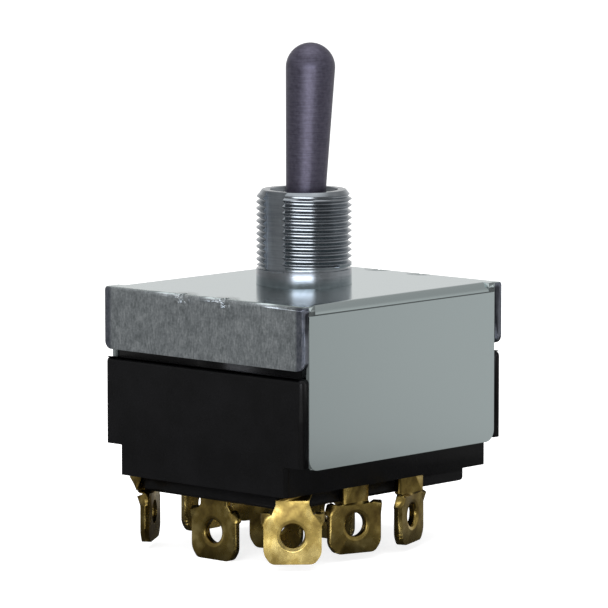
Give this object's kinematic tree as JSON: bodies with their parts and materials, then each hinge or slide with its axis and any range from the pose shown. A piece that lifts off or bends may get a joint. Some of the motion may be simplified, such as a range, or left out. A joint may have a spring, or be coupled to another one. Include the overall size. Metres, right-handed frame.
{
  "type": "panel toggle switch",
  "caption": "Centre-off toggle switch for a panel hole, with a bat lever, a threaded bushing, a folded zinc-plated bracket, a black moulded base and turned brass solder lugs.",
  "frame": {"origin": "On the bushing's axis, in the top face of the bracket's plate, where the back of the panel comes", "axes": "+Z points out of the panel along the bushing, +X is one direction of throw, +Y runs along the row of poles, away from the keyway"},
  "size_m": [0.0332, 0.0378, 0.0629],
  "materials": {
    "zinc_plate": "satin",
    "bushing_steel": "satin",
    "lever_metal": "satin",
    "spring_steel": "satin",
    "fibre_sheet": "matte",
    "nylon": "matte",
    "phenolic": "matte",
    "brass": "satin",
    "silver": "polished"
  },
  "bodies": {
    "housing": {"bracket": "zinc_plate", "bushing": "bushing_steel", "lever_pin": "spring_steel", "base": "phenolic", "insulator": "fibre_sheet", "terminal_1_left": "brass", "terminal_1_centre": "brass", "terminal_1_right": "brass", "terminal_2_left": "brass", "terminal_2_centre": "brass", "terminal_2_right": "brass", "terminal_3_left": "brass", "terminal_3_centre": "brass", "terminal_3_right": "brass", "contact_1_left": "silver", "contact_2_left": "silver", "contact_3_left": "silver", "contact_1_right": "silver", "contact_2_right": "silver", "contact_3_right": "silver"},
    "lever": {"lever": "lever_metal", "carrier": "nylon", "spring_1": "spring_steel", "spring_2": "spring_steel", "spring_3": "spring_steel"},
    "plunger_1": {"plunger_1": "nylon"},
    "plunger_2": {"plunger_2": "nylon"},
    "plunger_3": {"plunger_3": "nylon"},
    "rocker_1": {"rocker_1": "brass", "moving_contacts_1": "silver"},
    "rocker_2": {"rocker_2": "brass", "moving_contacts_2": "silver"},
    "rocker_3": {"rocker_3": "brass", "moving_contacts_3": "silver"}
  },
  "joints": [
    {"name": "lever_tilt", "type": "hinge", "parent": "housing", "child": "lever", "pos_m": [0, 0, 0.0048], "axis": [0, 1, 0], "range_deg": [-14.8, 9.2]},
    {"name": "plunger_1_slide", "type": "slide", "parent": "lever", "child": "plunger_1", "axis": [0.0488, 0, 0.9988], "range_m": [0, 0.0006], "stiffness_N_per_m": 1000, "springref_m": -0.002, "deforming": ["spring_1"]},
    {"name": "plunger_2_slide", "type": "slide", "parent": "lever", "child": "plunger_2", "axis": [0.0488, 0, 0.9988], "range_m": [0, 0.0006], "stiffness_N_per_m": 1000, "springref_m": -0.002, "deforming": ["spring_2"]},
    {"name": "plunger_3_slide", "type": "slide", "parent": "lever", "child": "plunger_3", "axis": [0.0488, 0, 0.9988], "range_m": [0, 0.0006], "stiffness_N_per_m": 1000, "springref_m": -0.002, "deforming": ["spring_3"]},
    {"name": "rocker_1_tilt", "type": "hinge", "parent": "housing", "child": "rocker_1", "pos_m": [0, -0.0135, -0.0164], "axis": [0, 1, 0], "range_deg": [-5.37, 8.63]},
    {"name": "rocker_2_tilt", "type": "hinge", "parent": "housing", "child": "rocker_2", "pos_m": [0, -0.0045, -0.0164], "axis": [0, 1, 0], "range_deg": [-5.37, 8.63]},
    {"name": "rocker_3_tilt", "type": "hinge", "parent": "housing", "child": "rocker_3", "pos_m": [0, 0.0045, -0.0164], "axis": [0, 1, 0], "range_deg": [-5.37, 8.63]}
  ],
  "couplings": [
    {"joint": "rocker_1_tilt", "follows": "lever_tilt", "ratio": -0.58333},
    {"joint": "rocker_2_tilt", "follows": "lever_tilt", "ratio": -0.58333},
    {"joint": "rocker_3_tilt", "follows": "lever_tilt", "ratio": -0.58333}
  ]
}
